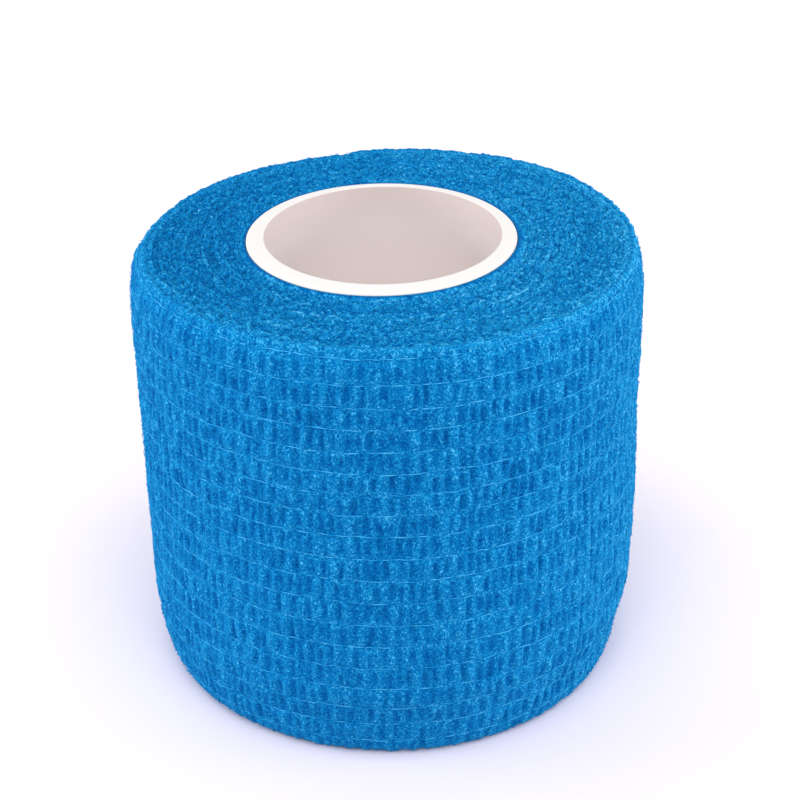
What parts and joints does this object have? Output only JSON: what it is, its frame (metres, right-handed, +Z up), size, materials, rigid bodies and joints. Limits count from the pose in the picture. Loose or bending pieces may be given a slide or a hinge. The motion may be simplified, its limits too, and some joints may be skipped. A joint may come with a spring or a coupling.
{
  "type": "cohesive bandage roll",
  "caption": "Roll of crinkled self-adherent bandage wound on an open plastic tube, standing on its flat end.",
  "frame": {"origin": "middle of the underside, the flat end that the roll stands on", "axes": "+Z up along the roll's axis, from the flat underside to the other end, +Y towards the side where the tape's cut end is pressed down, -Y towards the smooth front"},
  "size_m": [0.0556, 0.0548, 0.0507],
  "materials": {
    "crepe_cloth": "crinkled nonwoven with elastic threads, matte",
    "white_plastic": "satin"
  },
  "bodies": {
    "root": {"bandage_roll": "crepe_cloth", "core_tube": "white_plastic"}
  },
  "joints": []
}
